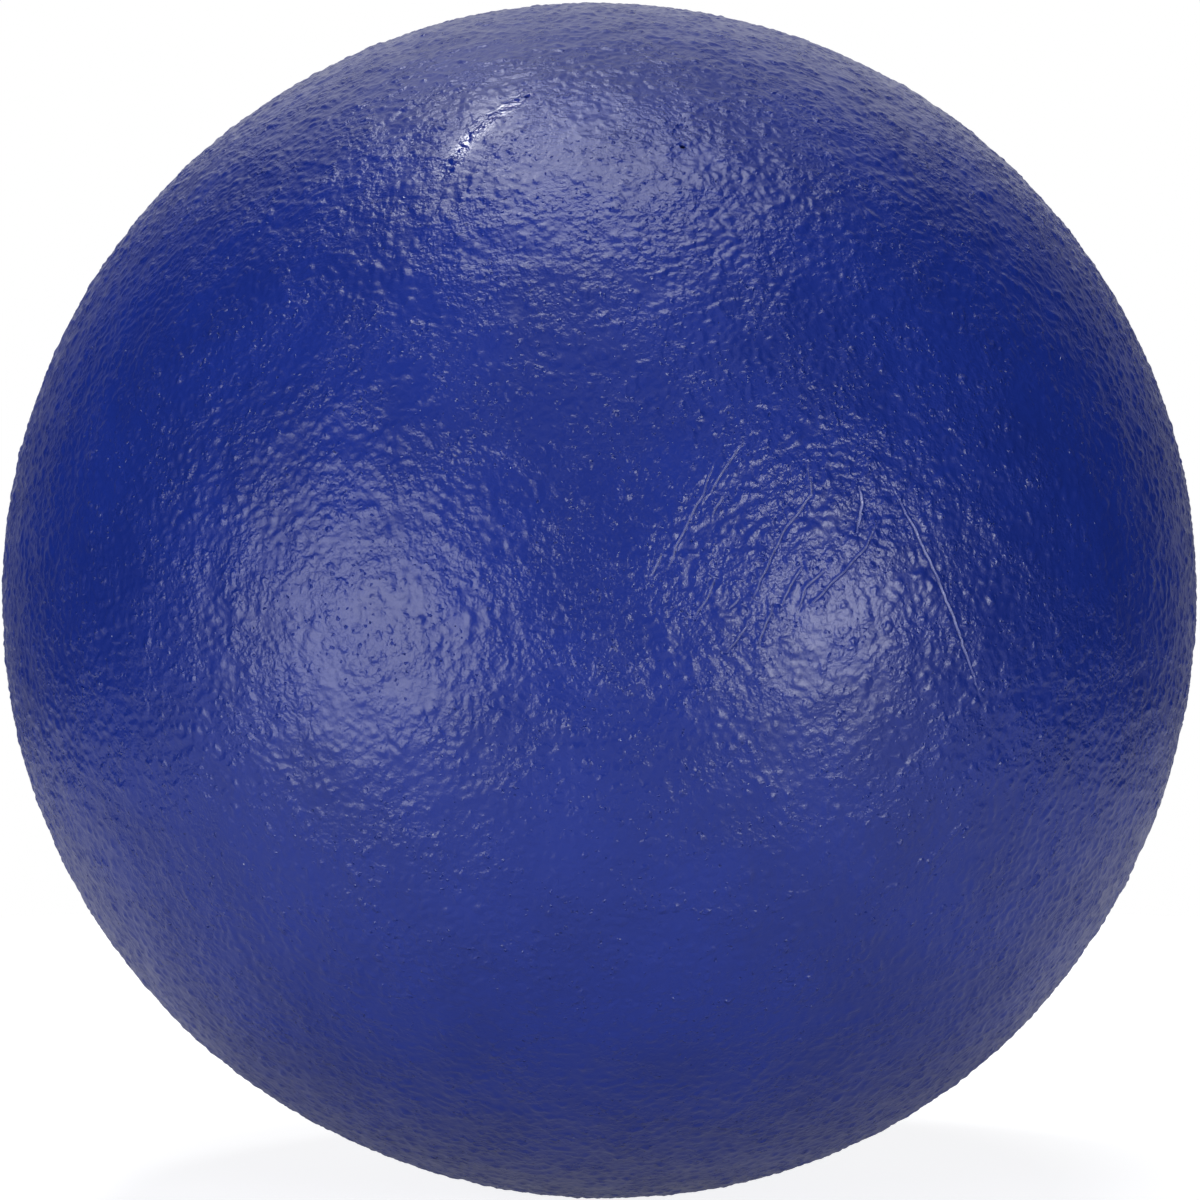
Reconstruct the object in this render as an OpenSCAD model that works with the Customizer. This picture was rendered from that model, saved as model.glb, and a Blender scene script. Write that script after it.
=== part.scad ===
// Coated foam ball: a soft foam core under two sprayed coats.
// Millimetres, +Z up, origin at the centre of the ball, front towards -Y.

/* [Ball] */
// Outside diameter of the finished ball
ball_d = 160; // [120:1:210]

/* [Coats] */
// Thickness of the coloured outer skin
skin_t = 0.5; // [0.3:0.05:1]
// Thickness of the first coat, which closes the cut foam cells
seal_t = 0.2; // [0.1:0.05:0.5]

/* [Vent] */
// Diameter of the pinhole that lets the foam breathe when it is squeezed
vent_d = 0.8; // [0.5:0.1:2]
// Turn of the pinhole from the front towards the right, in degrees
vent_turn = 12; // [-180:1:180]
// Rise of the pinhole above the equator, in degrees
vent_rise = 51; // [-90:1:90]

/* [Hidden] */

// Each layer is built on the one below it, so the radii step inwards from the outside.
skin_r = ball_d / 2;
seal_r = skin_r - skin_t;
core_r = seal_r - seal_t;

// The pinhole is cut a little past both faces of a coat, so that it opens cleanly.
vent_overrun = 1;

$fn = 128;

// A drilling along the radius at the pinhole, through a coat between the two radii.
module vent_drill(outer_r, inner_r) {
    rotate([0, 90 - vent_rise, vent_turn - 90])
        translate([0, 0, inner_r - vent_overrun])
            cylinder(d = vent_d, h = outer_r - inner_r + 2 * vent_overrun);
}

// One coat of even thickness between the two radii, open only at the pinhole.
module coat(outer_r, inner_r) {
    difference() {
        sphere(r = outer_r);
        sphere(r = inner_r);
        vent_drill(outer_r, inner_r);
    }
}

// Flexible open-cell foam, cut to a sphere, which gives the ball its shape and its bounce.
module foam_core() {
    color("ivory")
        sphere(r = core_r);
}

// The first coat soaks into the open cells and gives the skin a closed ground.
module seal_coat() {
    color("slategray")
        coat(seal_r, core_r);
}

// The coloured elastomer skin is the face that is held, thrown and bounced on.
module skin() {
    color("royalblue")
        coat(skin_r, seal_r);
}

foam_core();
seal_coat();
skin();
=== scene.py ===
# A soft play ball: a foam sphere under two sprayed coats, resting on a pale table top.
# Metres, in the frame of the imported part: the ball's centre is the origin, +Z is up, the front is -Y.
import math

import bmesh
import bpy
from mathutils import Matrix, Vector, kdtree, noise


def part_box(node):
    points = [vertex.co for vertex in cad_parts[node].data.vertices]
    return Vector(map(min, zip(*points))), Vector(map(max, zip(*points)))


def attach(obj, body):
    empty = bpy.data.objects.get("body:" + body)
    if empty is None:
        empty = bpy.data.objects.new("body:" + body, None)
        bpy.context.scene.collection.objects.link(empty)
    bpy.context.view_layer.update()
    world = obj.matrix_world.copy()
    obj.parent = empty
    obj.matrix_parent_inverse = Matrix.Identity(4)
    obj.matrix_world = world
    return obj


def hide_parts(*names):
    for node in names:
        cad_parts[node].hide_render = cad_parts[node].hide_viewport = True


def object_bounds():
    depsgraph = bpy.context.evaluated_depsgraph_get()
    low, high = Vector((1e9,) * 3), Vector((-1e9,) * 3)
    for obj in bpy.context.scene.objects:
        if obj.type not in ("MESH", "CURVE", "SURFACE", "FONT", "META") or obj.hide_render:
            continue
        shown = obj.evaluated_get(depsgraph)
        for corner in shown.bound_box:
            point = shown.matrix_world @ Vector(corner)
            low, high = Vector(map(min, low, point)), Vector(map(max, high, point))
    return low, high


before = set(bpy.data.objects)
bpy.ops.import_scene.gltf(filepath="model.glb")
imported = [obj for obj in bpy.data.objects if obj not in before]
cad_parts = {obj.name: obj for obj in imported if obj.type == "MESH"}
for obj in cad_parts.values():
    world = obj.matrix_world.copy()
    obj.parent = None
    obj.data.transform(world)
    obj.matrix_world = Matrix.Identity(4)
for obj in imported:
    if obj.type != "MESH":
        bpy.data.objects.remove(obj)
cad_low, cad_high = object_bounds()

MM = 0.001

# The camera. It looks at the middle of the ball from the front and a little above, from about an arm's
# length, and the ball all but fills the square picture.
PICTURE_SIDE = 1200
BALL_SPAN = 1193
CAMERA_DISTANCE = 1.0
CAMERA_RISE = math.radians(5)
SENSOR_WIDTH = 36

skin_low, skin_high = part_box("skin")
ball_radius = (skin_high.z - skin_low.z) / 2

to_camera = Vector((0, -math.cos(CAMERA_RISE), math.sin(CAMERA_RISE)))
picture_right = Vector((1, 0, 0))
picture_up = to_camera.cross(picture_right)
outline_tangent = ball_radius / math.sqrt(CAMERA_DISTANCE**2 - ball_radius**2)
eye = to_camera * CAMERA_DISTANCE

camera_data = bpy.data.cameras.new("camera")
camera_data.sensor_width = SENSOR_WIDTH
camera_data.angle = 2 * math.atan(outline_tangent * PICTURE_SIDE / BALL_SPAN)
camera = bpy.data.objects.new("camera", camera_data)
camera.matrix_world = Matrix.Translation(eye) @ to_camera.to_track_quat("Z", "Y").to_matrix().to_4x4()
bpy.context.collection.objects.link(camera)
bpy.context.scene.camera = camera


def at_pixel(across, down):
    """Unit direction from the ball's centre to the spot that the picture shows at a pixel."""
    tangent = outline_tangent * 2 / BALL_SPAN
    ray = (
        picture_right * ((across - PICTURE_SIDE / 2) * tangent)
        + picture_up * ((PICTURE_SIDE / 2 - down) * tangent)
        - to_camera
    ).normalized()
    along = -eye.dot(ray)
    miss = eye.length_squared - along**2
    return (eye + ray * (along - math.sqrt(max(ball_radius**2 - miss, 0)))).normalized()


# The foam core. A sphere of flexible open-cell polyurethane foam, cut from a block and not quite round.
# It gives the ball its shape, and the coats that are sprayed on it follow its unevenness.
CUT_WAVE, CUT_DEPTH = 40 * MM, 0.1 * MM
# Each lump: degrees round the outline, clockwise from the right, then its width in degrees and height in mm.
LUMPS = [(60, 18, 0.45), (15, 14, -0.27), (118, 18, -0.32), (225, 22, 0.2), (285, 12, -0.24)]
FOAM_DETAIL = 8
CELL, CELL_DEPTH = 2.2 * MM, 0.5 * MM
CELL_WALL, CELL_BUMP = (0.02, 0.3), 0.2 * MM
PORE, PORE_WALL, PORE_BUMP = 0.5 * MM, (0.15, 0.5), 0.12 * MM
# The share of the painted shade in the cut cells that the foam loses away from the middles of the pores.
PORE_SHADE = 0.5
CLEARANCE = 0.02 * MM
FOAM_IVORY = (0.66, 0.57, 0.38, 1)
# A deep brown painted as shade in the foam's cells and pores.
FOAM_HOLLOW_SHADE = (0.36, 0.28, 0.15, 1)
FOAM_DULL, FOAM_DULL_SPREAD, FOAM_PATCH = 0.85, 0.1, 6 * MM

core_low, core_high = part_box("foam_core")
core_radius = (core_high.z - core_low.z) / 2 - CLEARANCE

lump_places = []
for turn, width, height in LUMPS:
    across, down = math.cos(math.radians(turn)), math.sin(math.radians(turn))
    lump_places.append((picture_right * across - picture_up * down, math.radians(width), height * MM))


def cut_form(direction):
    """How far the cut foam stands proud of a true sphere in that direction."""
    proud = noise.noise(direction * (ball_radius / CUT_WAVE)) * CUT_DEPTH
    for place, width, height in lump_places:
        proud += height * math.exp(-((direction.angle(place) / width) ** 2) / 2)
    return proud


def cell_hollow(direction):
    """0 on the thin walls between the cut cells of the foam, and up to 1 inside a cell."""
    distances, _ = noise.voronoi(direction * (ball_radius / CELL))
    return min(1, distances[1] - distances[0])


class Wire:
    """A socket of a material's nodes. Sums on wires add Math nodes to the same material."""

    def __init__(self, tree, socket=None):
        self.tree = tree
        self.socket = socket

    def node(self, kind, settings, sockets, output=0):
        """Adds a node of that type, sets its settings first, fills its sockets, and gives one output."""
        made = self.tree.nodes.new("ShaderNode" + kind)
        for name, value in settings.items():
            setattr(made, name, value)
        for name, value in sockets.items():
            if isinstance(value, Wire):
                self.tree.links.new(value.socket, made.inputs[name])
            else:
                made.inputs[name].default_value = value
        return Wire(self.tree, made.outputs[output])

    def maths(self, operation, *values):
        """A Math node of that operation on values or wires."""
        return self.node("Math", {"operation": operation}, dict(enumerate(values)))

    def __add__(self, other):
        return self.maths("ADD", self, other)

    def __sub__(self, other):
        return self.maths("SUBTRACT", self, other)

    def __rsub__(self, other):
        return self.maths("SUBTRACT", other, self)

    def __mul__(self, other):
        return self.maths("MULTIPLY", self, other)

    __radd__ = __add__
    __rmul__ = __mul__

    def step(self, low, high):
        """0 below low, 1 above high, and a soft step between them."""
        ends = {"Value": self, "From Min": low, "From Max": high}
        return self.node("MapRange", {"interpolation_type": "SMOOTHSTEP"}, ends)

    def blend(self, first, second):
        """The first colour where this is 0, the second where it is 1."""
        return self.node("Mix", {"data_type": "RGBA"}, {0: self, 6: first, 7: second}, output=2)

    def clouds(self, size, detail=2.0):
        """Noise of that size, from 0 to 1, about this wire's coordinates."""
        return self.node("TexNoise", {}, {"Vector": self, "Scale": 1 / size, "Detail": detail})

    def cells(self, spacing, output="Distance", feature="F1"):
        """Distance from the nearest of many scattered points, in spacings, or another output of them."""
        return self.node("TexVoronoi", {"feature": feature}, {"Vector": self, "Scale": 1 / spacing}, output)

    def bells(self, spacing, small, large, share, edge=0.05):
        """Rounded spots in that share of the cells, with radii between two parts of the spacing."""
        colour = self.cells(spacing, output="Color")
        luck, size = (self.node("SeparateColor", {}, {"Color": colour}, part) for part in ("Red", "Green"))
        ends = {"Value": self.cells(spacing), "From Min": 0.0, "From Max": small + (large - small) * size}
        slope = self.node("MapRange", {"interpolation_type": "SMOOTHSTEP"}, ends)
        return (1 - slope) * (1 - luck.step(share, share + edge))

    def wander(self, reach):
        """These coordinates, pushed about by up to that reach, so that what is drawn on them isn't round."""
        push = self.node("TexNoise", {}, {"Vector": self, "Scale": 1 / reach, "Detail": 1.0}, output="Color")
        return self.node("VectorMath", {"operation": "MULTIPLY_ADD"}, {0: push, 1: (reach,) * 3, 2: self})


def new_material(name):
    """A material with an empty Principled shader, and a wire of the piece's own coordinates."""
    material = bpy.data.materials.new(name)
    material.use_nodes = True
    tree = material.node_tree
    place = Wire(tree).node("TexCoord", {}, {}, output="Object")
    return material, tree.nodes["Principled BSDF"], place


def connect(shader, **wires):
    """Links wires to a shader's sockets, a height in metres to Normal through a Bump node."""
    for name, wire in wires.items():
        if name == "Height":
            wire, name = wire.node("Bump", {}, {"Height": wire, "Distance": 1.0}), "Normal"
        wire.tree.links.new(wire.socket, shader.inputs[name.replace("_", " ")])


def add_piece(name, bm, material, node):
    """Links a finished bmesh as a smooth piece that stands for a node of the ball's one body."""
    mesh = bpy.data.meshes.new(name)
    bm.to_mesh(mesh)
    bm.free()
    mesh.materials.append(material)
    mesh.shade_smooth()
    piece = bpy.data.objects.new(name, mesh)
    bpy.context.collection.objects.link(piece)
    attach(piece, "root")
    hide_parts(node)
    return piece


bm = bmesh.new()
bmesh.ops.create_icosphere(bm, subdivisions=FOAM_DETAIL, radius=1)
for vert in bm.verts:
    direction = vert.co.normalized()
    vert.co = direction * (core_radius + cut_form(direction) - CELL_DEPTH * cell_hollow(direction))

foam_material, shader, place = new_material("open_cell_foam")
# Painted shade: the foam's colour darkens to a deep brown inside the cut cells, and most in the pores, where
# the surface sinks.
hollows = place.cells(CELL, feature="DISTANCE_TO_EDGE").step(*CELL_WALL)
pore_walls = place.cells(PORE).step(*PORE_WALL)
connect(
    shader,
    Base_Color=(hollows * (1 - PORE_SHADE * pore_walls)).blend(FOAM_IVORY, FOAM_HOLLOW_SHADE),
    Roughness=FOAM_DULL + FOAM_DULL_SPREAD * place.clouds(FOAM_PATCH),
    Height=pore_walls * PORE_BUMP - hollows * CELL_BUMP,
)
core = add_piece("cut_foam_core", bm, foam_material, "foam_core")

# The seal coat. A thin first coat of dull elastomer, sprayed on the foam and soaked into its cut cells,
# so that the coloured coat stays on top. The cells show through it as faint dimples.
VENT_TURN, VENT_RISE = math.radians(12), math.radians(51)
VENT_RADIUS = 0.4 * MM
# How near the pinhole, in mm, each round of cutting halves the triangles.
LINING_DETAIL, LINING_CUTS = 6, (12, 6, 3, 1.5, 1)
SEAL_DETAIL, SEAL_CUTS = 7, (6, 3, 1.5, 1)
SEAL_DIMPLE = 0.05 * MM
SEAL_WALL = (0.0, 0.3)
SEAL_SLATE = (0.05, 0.075, 0.16, 1)
SEAL_PALE = (0.085, 0.115, 0.2, 1)
SEAL_PATCH = 9 * MM
SEAL_DULL, SEAL_DULL_SPREAD, SEAL_DULL_PATCH = 0.55, 0.2, 3 * MM
SEAL_GRAIN, SEAL_GRAIN_BUMP = 0.6 * MM, 0.03 * MM

seal_low, seal_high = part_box("seal_coat")
seal_radius = (seal_high.z - seal_low.z) / 2 - CLEARANCE
vent_level = Vector((math.sin(VENT_TURN), -math.cos(VENT_TURN), 0))
vent = vent_level * math.cos(VENT_RISE) + Vector((0, 0, math.sin(VENT_RISE)))


def refine(bm, features, reach, cuts):
    """Cuts the triangles of a unit sphere finer within reach of the features, a tree of points on it."""
    for vert in bm.verts:
        vert.tag = features.find(vert.co)[2] < reach / ball_radius
    edges = [edge for edge in bm.edges if edge.verts[0].tag and edge.verts[1].tag]
    bmesh.ops.subdivide_edges(bm, edges=edges, cuts=cuts, use_grid_fill=True)
    bmesh.ops.triangulate(bm, faces=[face for face in bm.faces if len(face.verts) > 3])
    for vert in bm.verts:
        vert.co.normalize()


def tree_of(points):
    """A search tree of points."""
    tree = kdtree.KDTree(len(points))
    for index, point in enumerate(points):
        tree.insert(point, index)
    tree.balance()
    return tree


def open_vent(bm):
    """Opens the pinhole in a unit sphere, and moves its rim on to a true circle."""
    angle = VENT_RADIUS / ball_radius
    hole = [vert for vert in bm.verts if vert.co.angle(vent) < angle]
    bmesh.ops.delete(bm, geom=hole, context="VERTS")
    rim = {vert for edge in bm.edges if edge.is_boundary for vert in edge.verts}
    for vert in rim:
        across = (vert.co - vent * vert.co.dot(vent)).normalized()
        vert.co = vent * math.cos(angle) + across * math.sin(angle)


def coat(outer, outer_form, inner_radius):
    """Closes a coat: forms its outer unit sphere, adds an inner face, and joins the two round the pinhole."""
    open_vent(outer)
    for vert in outer.verts:
        vert.co *= outer_form(vert.co)
    inner = bmesh.new()
    bmesh.ops.create_icosphere(inner, subdivisions=LINING_DETAIL, radius=1)
    for reach in LINING_CUTS:
        refine(inner, tree_of([vent]), reach * MM, cuts=1)
    open_vent(inner)
    for vert in inner.verts:
        vert.co *= inner_radius + cut_form(vert.co)
    bmesh.ops.reverse_faces(inner, faces=inner.faces)
    lining = bpy.data.meshes.new("lining")
    inner.to_mesh(lining)
    inner.free()
    outer.from_mesh(lining)
    bpy.data.meshes.remove(lining)
    rims = [edge for edge in outer.edges if edge.is_boundary]
    bmesh.ops.bridge_loops(outer, edges=rims)
    bmesh.ops.triangulate(outer, faces=[face for face in outer.faces if len(face.verts) > 3])
    return outer


def seal_form(direction):
    """Distance of the seal coat's face from the ball's centre, with a dimple over each cell."""
    return seal_radius + cut_form(direction) - SEAL_DIMPLE * cell_hollow(direction)


bm = bmesh.new()
bmesh.ops.create_icosphere(bm, subdivisions=SEAL_DETAIL, radius=1)
for reach in SEAL_CUTS:
    refine(bm, tree_of([vent]), reach * MM, cuts=1)
bm = coat(bm, seal_form, core_radius + CLEARANCE)

seal_material, shader, place = new_material("dull_seal_coat")
hollows = place.cells(CELL, feature="DISTANCE_TO_EDGE").step(*SEAL_WALL)
connect(
    shader,
    Base_Color=(hollows * place.clouds(SEAL_PATCH, 4.0)).blend(SEAL_SLATE, SEAL_PALE),
    Roughness=SEAL_DULL + SEAL_DULL_SPREAD * place.clouds(SEAL_DULL_PATCH),
    Height=place.clouds(SEAL_GRAIN) * SEAL_GRAIN_BUMP,
)
seal = add_piece("soaked_seal_coat", bm, seal_material, "seal_coat")

# The skin. A coloured polyurethane elastomer, sprayed on in a wet, spattering coat and cured to a satin,
# pebbled hide. Handling has left fine creases and one fold in it, and burst bubbles have left pinholes.
SKIN_DETAIL = 9
# Each size of dent: its wave and its depth in mm.
DENTS = [(5.0, 0.14), (2.6, 0.1)]
PEBBLE_WAVE, PEBBLE_HEIGHT, PEBBLE_VALLEY = 1.2 * MM, 0.36 * MM, 0.1
# Each calm spot: its pixel, its radius in mm, and the share of the grain that it lacks.
CALM_SPOTS = [
    (390, 650, 17, 0.45),
    (850, 735, 12, 0.4),
    (822, 606, 8, 0.4),
    (560, 150, 9, 0.35),
    (500, 112, 3, 0.75),
    (466, 144, 3.2, 0.75),
]
# The pixels that each crease, and then the fold, runs through.
CREASES = [
    [(710, 496), (722, 471), (745, 441)],
    [(668, 568), (674, 550), (702, 496), (715, 460)],
    [(712, 517), (725, 494)],
    [(650, 579), (661, 552)],
    [(694, 622), (717, 576)],
    [(748, 608), (766, 568), (784, 532), (811, 495), (809, 460)],
    [(782, 606), (791, 585), (804, 565)],
    [(757, 644), (763, 631), (773, 606)],
    [(799, 608), (807, 588), (826, 568)],
    [(809, 607), (827, 588), (863, 550), (877, 522)],
    [(859, 488), (863, 504), (855, 537)],
    [(892, 486), (924, 550), (949, 608), (980, 698)],
    [(728, 652), (748, 624)],
    [(728, 608), (739, 598)],
]
FOLD = [(527, 97), (490, 118), (466, 142), (448, 172)]
CREASE_WIDTH, CREASE_HEIGHT = 0.15 * MM, 0.09 * MM
FOLD_WIDTH, FOLD_HEIGHT = 1.6 * MM, 0.02 * MM
CREASE_STEPS, CREASE_CUTS, CREASE_REACH = 200, 5, 0.6 * MM
# The creases wander by noise vectors, which start from the clock unless they are given a seed.
CREASE_WAVE, CREASE_WANDER, CREASE_SEED = 2.5 * MM, 0.3 * MM, 5
CREASE_TAPER = 1 / 5
# How strongly each crease is made pale and glossy, and how much that varies along it; the paleness is partly
# wear and partly a painted sheen on the ridges.
CREASE_WEAR_AND_SHEEN, CREASE_WEAR_AND_SHEEN_SPREAD = 0.8, 0.5
CREASE_SCUFF_AND_SHEEN_SHARE = 0.8
# How far a crease and a burst reach, in widths and radii.
CREASE_SPAN, BURST_SPAN = 3, 2
# Each burst bubble: its pixel, and its radius and depth in mm.
BURSTS = [(680, 126, 0.45, 0.25), (527, 97, 0.28, 0.3), (692, 541, 0.2, 0.2)]
SKIN_BLUE = (0.0073, 0.0226, 0.213, 1)
SKIN_DEEP = (0.0064, 0.02, 0.19, 1)
DUST_WHITE = (0.45, 0.47, 0.55, 1)
# A pale blue painted along the creases: partly scuffed wear, partly a painted sheen on their ridges.
CREASE_SCUFF_AND_SHEEN = (0.28, 0.3, 0.52, 1)
BLUE_PATCH, GRAIN_PATCH, PATCH_EDGE = 14 * MM, 6 * MM, (0.35, 0.65)
GRAIN_LEAST = 0.35
SKIN_IOR = 1.45
SATIN, SATIN_SPREAD, CREASE_SHINE, DROP_SHINE = 0.34, 0.06, 0.22, 0.2
FINE_WAVE, FINE_HEIGHT = 0.5 * MM, 0.12 * MM
# Drops, pits and dust: spacing, least and largest radius in spacings, and the share of places with one.
LARGE_DROPS, LARGE_DROP_HEIGHT = (2.0 * MM, 0.25, 0.5, 0.5), 0.15 * MM
SMALL_DROPS, SMALL_DROP_HEIGHT = (0.85 * MM, 0.2, 0.4, 0.5), 0.12 * MM
PITS, PIT_DEPTH = (1.5 * MM, 0.06, 0.18, 0.35), 0.2 * MM
DUST = (3.5 * MM, 0.02, 0.05, 0.2)
WANDER = 0.9 * MM

calm_spots = [(at_pixel(across, down), radius * MM, drop) for across, down, radius, drop in CALM_SPOTS]
bursts = [(at_pixel(across, down), radius * MM, depth * MM) for across, down, radius, depth in BURSTS]
lines = [(line, CREASE_WIDTH, CREASE_HEIGHT) for line in CREASES] + [(FOLD, FOLD_WIDTH, FOLD_HEIGHT)]
crease_points, crease_forms = [], []
noise.seed_set(CREASE_SEED)
for line, width, height in lines:
    ends = [at_pixel(*spot) for spot in line]
    for number, (start, end) in enumerate(zip(ends, ends[1:])):
        side = start.cross(end).normalized()
        for step in range(CREASE_STEPS):
            share = (number + step / CREASE_STEPS) / (len(ends) - 1)
            fade = min(1, share / CREASE_TAPER, (1 - share) / CREASE_TAPER)
            point = start.lerp(end, step / CREASE_STEPS).normalized()
            spot = point * (ball_radius / CREASE_WAVE)
            point = (point + noise.noise_vector(spot) * (CREASE_WANDER / ball_radius)).normalized()
            worn_and_sheen = CREASE_WEAR_AND_SHEEN + CREASE_WEAR_AND_SHEEN_SPREAD * noise.noise(spot)
            crease_points.append(point)
            crease_forms.append((side, width, height * fade, 1 if line is FOLD else fade * worn_and_sheen))
crease_tree = tree_of(crease_points)


def calm(direction):
    """Share of the grain that is left at a spot: the wet coat flowed smooth in a few places."""
    share = 1
    for place, radius, drop in calm_spots:
        share *= 1 - drop * math.exp(-(((direction - place).length * ball_radius / radius) ** 2))
    return share


def grain(direction):
    """Height of the pebbled surface above the middle of the coat."""
    spot = direction * ball_radius
    height = sum(noise.noise(spot / (wave * MM)) * depth * MM for wave, depth in DENTS)
    height += PEBBLE_HEIGHT * math.hypot(noise.noise(spot / PEBBLE_WAVE), PEBBLE_VALLEY)
    height *= calm(direction)
    point, nearest, gap = crease_tree.find(direction)
    side, width, rise, _ = crease_forms[nearest]
    gap *= ball_radius / width
    if gap < CREASE_SPAN:
        height += rise * (direction - point).dot(side) * ball_radius / width * math.exp(1 - gap**2)
    for place, radius, depth in bursts:
        offset = ((direction - place).length * ball_radius / radius) ** 2
        if offset < BURST_SPAN**2:
            height -= depth * math.exp(-(offset**2))
    return height


def skin_form(direction):
    """Distance of the skin's face from the ball's centre."""
    return ball_radius + cut_form(direction) + grain(direction)


bm = bmesh.new()
bmesh.ops.create_icosphere(bm, subdivisions=SKIN_DETAIL, radius=1)
features = tree_of(crease_points + [place for place, _, _ in bursts] + [vent])
refine(bm, features, CREASE_REACH, cuts=CREASE_CUTS)
crease_layer = bm.verts.layers.float.new("crease")
fold_layer = bm.verts.layers.float.new("fold")
grain_layer = bm.verts.layers.float.new("grain")
for vert in bm.verts:
    _, nearest, gap = crease_tree.find(vert.co)
    _, width, _, shine = crease_forms[nearest]
    layer = fold_layer if width == FOLD_WIDTH else crease_layer
    vert[layer] = shine * math.exp(-2 * (gap * ball_radius / width) ** 2)
    vert[grain_layer] = calm(vert.co)
bm = coat(bm, skin_form, seal_radius + CLEARANCE)

skin_material, shader, place = new_material("satin_blue_skin")
shader.inputs["IOR"].default_value = SKIN_IOR
crease, fold, grain_left = (
    place.node("Attribute", {"attribute_name": name}, {}, output="Fac")
    for name in ("crease", "fold", "grain")
)
patches = place.clouds(GRAIN_PATCH, 3.0)
roughened = grain_left * (GRAIN_LEAST + patches.step(*PATCH_EDGE))
spattered = place.wander(WANDER)
small_drops = spattered.bells(*SMALL_DROPS)
spatter = LARGE_DROP_HEIGHT * spattered.bells(*LARGE_DROPS) + SMALL_DROP_HEIGHT * small_drops
spatter += FINE_HEIGHT * place.clouds(FINE_WAVE, 1.0)
blue = place.clouds(BLUE_PATCH, 4.0).step(*PATCH_EDGE).blend(SKIN_DEEP, SKIN_BLUE)
connect(
    shader,
    # The creases are painted pale, partly as wear and partly as a painted sheen.
    Base_Color=place.bells(*DUST).blend((CREASE_SCUFF_AND_SHEEN_SHARE * crease).blend(blue, CREASE_SCUFF_AND_SHEEN), DUST_WHITE),
    Roughness=SATIN
    + SATIN_SPREAD * (patches - 0.5)
    - DROP_SHINE * small_drops * roughened
    - CREASE_SHINE * (crease + fold),
    Height=spatter * roughened - PIT_DEPTH * spattered.bells(*PITS),
)
skin = add_piece("pebbled_skin", bm, skin_material, "skin")

# The studio. A round white table top that glows a little, a white backdrop, soft boxes overhead and on each
# side of the camera, black flags that keep the ball's flanks dark, and glowing cards that light its rims.
WHITE = (1, 1, 1, 1)
TABLE_RADIUS, TABLE_SEGMENTS = 0.3, 128
TABLE_WHITE = (0.5, 0.5, 0.5, 1)
TABLE_SEEN, TABLE_GLOSS, TABLE_FILL = 0.85, 0.27, 0.2
BOARD_BLACK = (0.02, 0.02, 0.02, 1)
# Each board: its middle, the way it faces, its width and height, and its glow.
BOARDS = {
    "left_flag": ((-1.05, -0.2, 0.25), (1, 0, 0), 2.6, 1.9, 0),
    "right_flag": ((1.05, -0.2, 0.25), (-1, 0, 0), 2.6, 1.9, 0),
    "ceiling_flag": ((0, -0.3, 1.2), (0, 0, -1), 2.1, 2.4, 0),
    "front_flag": ((0, -1.5, 0.25), (0, 1, 0), 2.1, 1.9, 0),
    "left_card": ((-1.05, 2.15, 0.25), (1, 0, 0), 2.1, 1.9, 0.25),
    "right_card": ((1.05, 2.15, 0.25), (-1, 0, 0), 2.1, 1.9, 0.32),
}
FILL = 0.2
# Each soft box: the pixel of the ball that mirrors it, its distance, width and height, and its radiance.
SOFTBOXES = {
    "top_box": (600, 180, 1.0, 0.75, 0.55, 5.9),
    "top_core": (488, 126, 0.97, 0.16, 0.16, 26),
    "front_wide": (600, 370, 1.05, 1.0, 0.5, 0.55),
    "left_wide": (330, 620, 1.04, 1.1, 0.9, 3.3),
    "left_box": (385, 640, 1.02, 0.62, 0.62, 3.6),
    "right_wide": (785, 615, 1.04, 0.95, 0.8, 0.2),
    "right_box": (820, 632, 1.02, 0.5, 0.5, 5.5),
    "right_core": (818, 592, 1.0, 0.25, 0.25, 17),
}

world = bpy.data.worlds.new("studio")
bpy.context.scene.world = world
world.use_nodes = True


def seen_strength(tree, unseen, gloss, seen):
    """A wire of one value for rays from the camera, one for gloss and clear matter, one for the rest."""
    rays = tree.nodes.new("ShaderNodeLightPath")
    kinds = ("Is Camera Ray", "Is Glossy Ray", "Is Transmission Ray")
    camera_ray, glossy_ray, clear_ray = (Wire(tree, rays.outputs[kind]) for kind in kinds)
    return unseen + (seen - unseen) * camera_ray + (gloss - unseen) * (glossy_ray + clear_ray)


backdrop = world.node_tree.nodes["Background"]
backdrop.inputs["Color"].default_value = WHITE
strength = seen_strength(world.node_tree, FILL, 1.0, 1.0)
world.node_tree.links.new(strength.socket, backdrop.inputs["Strength"])


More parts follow.
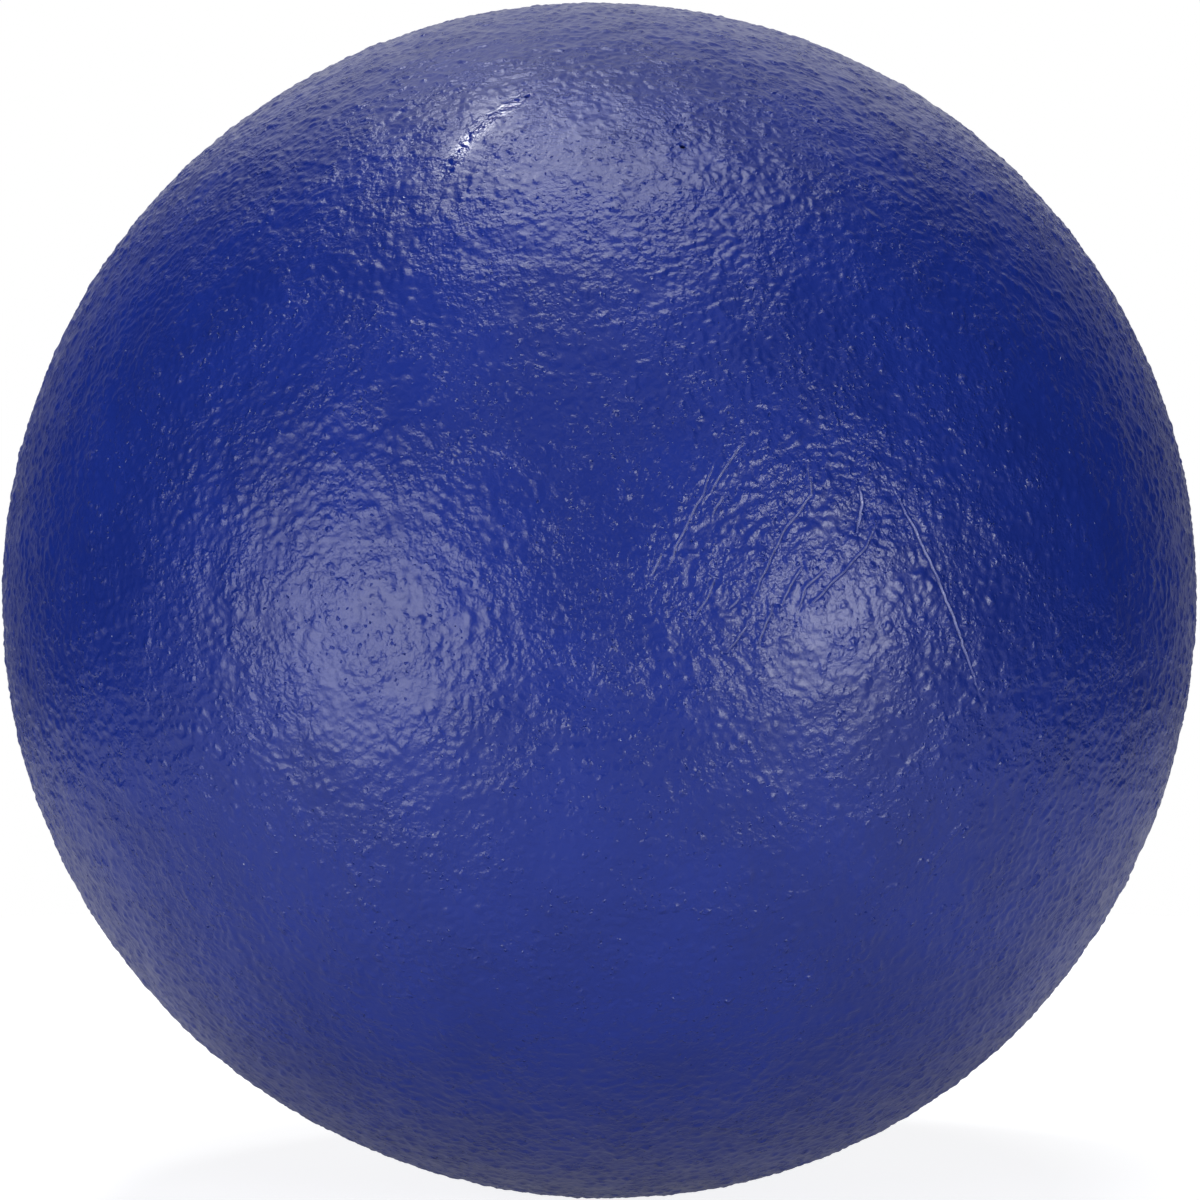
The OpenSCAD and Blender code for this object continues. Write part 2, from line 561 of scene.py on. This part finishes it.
def softbox(name, across, down, distance, width, height, radiance):
    """A round soft box facing the ball, at the place that the ball mirrors at a pixel of the picture."""
    normal = at_pixel(across, down)
    view = (eye - normal * ball_radius).normalized()
    ray = 2 * normal.dot(view) * normal - view
    lamp = bpy.data.lights.new(name, "AREA")
    lamp.shape = "ELLIPSE"
    lamp.size = width
    lamp.size_y = height
    area = width * height * math.pi / 4
    lamp.energy = radiance * math.pi * area
    piece = bpy.data.objects.new(name, lamp)
    place = Matrix.Translation(normal * ball_radius + ray * distance)
    piece.matrix_world = place @ ray.to_track_quat("Z", "Y").to_matrix().to_4x4()
    piece.visible_camera = False
    bpy.context.collection.objects.link(piece)


for name, values in SOFTBOXES.items():
    softbox(name, *values)


def stage_board(name, bm, colour):
    """Links a flat board of the studio, matt and of one colour, and gives its object and its shader."""
    mesh = bpy.data.meshes.new(name)
    bm.to_mesh(mesh)
    bm.free()
    material, shader, _ = new_material(name)
    shader.inputs["Base Color"].default_value = colour
    shader.inputs["Roughness"].default_value = 1
    shader.inputs["Specular IOR Level"].default_value = 0
    mesh.materials.append(material)
    piece = bpy.data.objects.new(name, mesh)
    bpy.context.collection.objects.link(piece)
    return piece, shader


bm = bmesh.new()
bmesh.ops.create_circle(bm, cap_ends=True, segments=TABLE_SEGMENTS, radius=TABLE_RADIUS)
bmesh.ops.translate(bm, verts=bm.verts, vec=(0, 0, cad_low.z))
table, shader = stage_board("table", bm, TABLE_WHITE)
shader.inputs["Emission Color"].default_value = WHITE
lift = seen_strength(table.active_material.node_tree, TABLE_FILL, TABLE_GLOSS, TABLE_SEEN)
table.active_material.node_tree.links.new(lift.socket, shader.inputs["Emission Strength"])

for name, (middle, facing, width, height, glow) in BOARDS.items():
    bm = bmesh.new()
    bmesh.ops.create_grid(bm, x_segments=1, y_segments=1, size=0.5)
    turn = Vector(facing).to_track_quat("Z", "Y").to_matrix().to_4x4()
    place = Matrix.Translation(middle) @ turn @ Matrix.Diagonal((width, height, 1, 1))
    bmesh.ops.transform(bm, matrix=place, verts=bm.verts)
    board, shader = stage_board(name, bm, BOARD_BLACK)
    shader.inputs["Emission Color"].default_value = WHITE
    shader.inputs["Emission Strength"].default_value = glow
    board.visible_camera = False

bpy.context.scene.view_settings.view_transform = "Standard"
